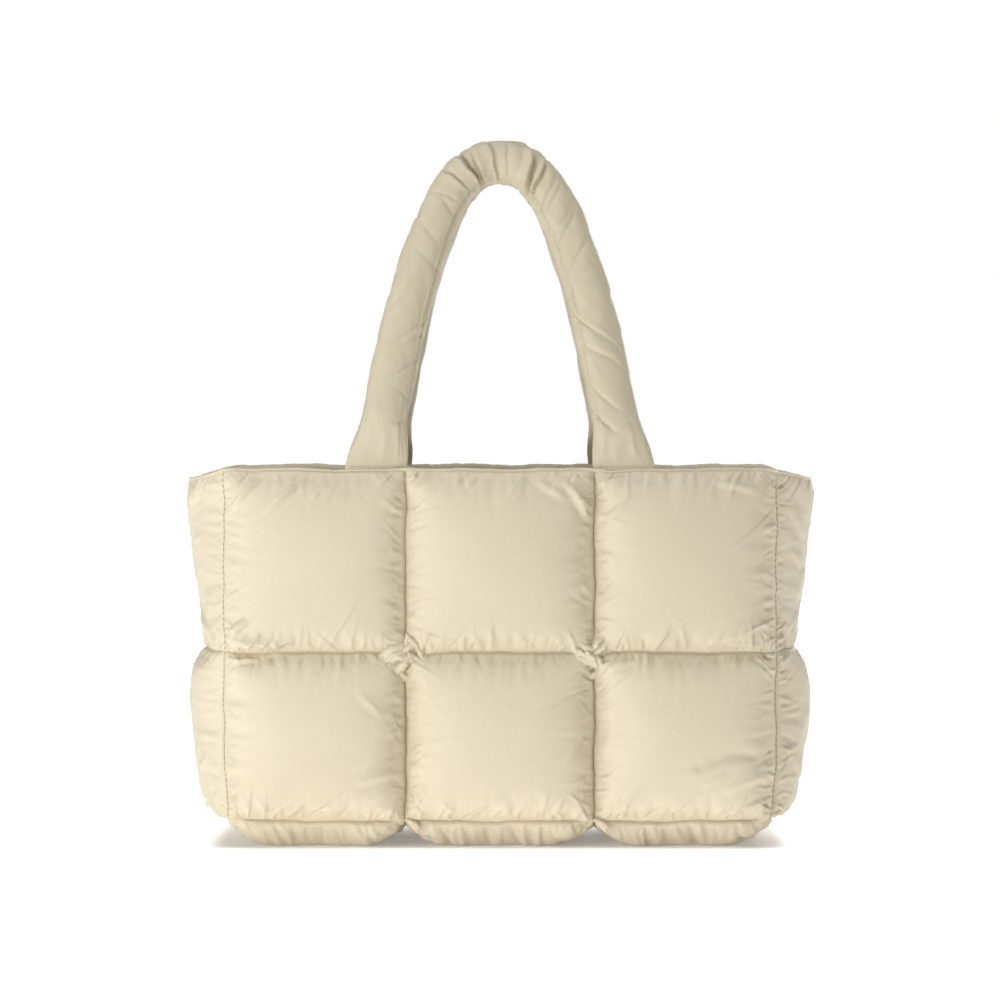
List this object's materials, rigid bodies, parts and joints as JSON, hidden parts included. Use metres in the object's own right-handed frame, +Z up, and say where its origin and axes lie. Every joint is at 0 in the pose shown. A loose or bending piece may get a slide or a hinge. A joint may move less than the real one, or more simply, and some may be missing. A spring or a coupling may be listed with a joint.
{
  "type": "puffer tote bag",
  "caption": "Soft quilted puffer tote bag standing open, boxy with puffed square cells, side gussets and padded tubular handles that arch over the rim.",
  "frame": {"origin": "on the floor, in the middle of the bag's length and depth", "axes": "+Z up, +X to the right of someone who faces the front, front towards -Y"},
  "size_m": [0.4388, 0.18, 0.4897],
  "materials": {
    "shell": "cream nylon with a soft sheen, quilted over wadding",
    "handle": "the same cream nylon, sewn into a stuffed tube"
  },
  "bodies": {
    "root": {"front_panel": "shell", "back_panel": "shell", "left_gusset": "shell", "right_gusset": "shell", "base_panel": "shell", "front_handle": "handle", "back_handle": "handle"}
  },
  "joints": []
}
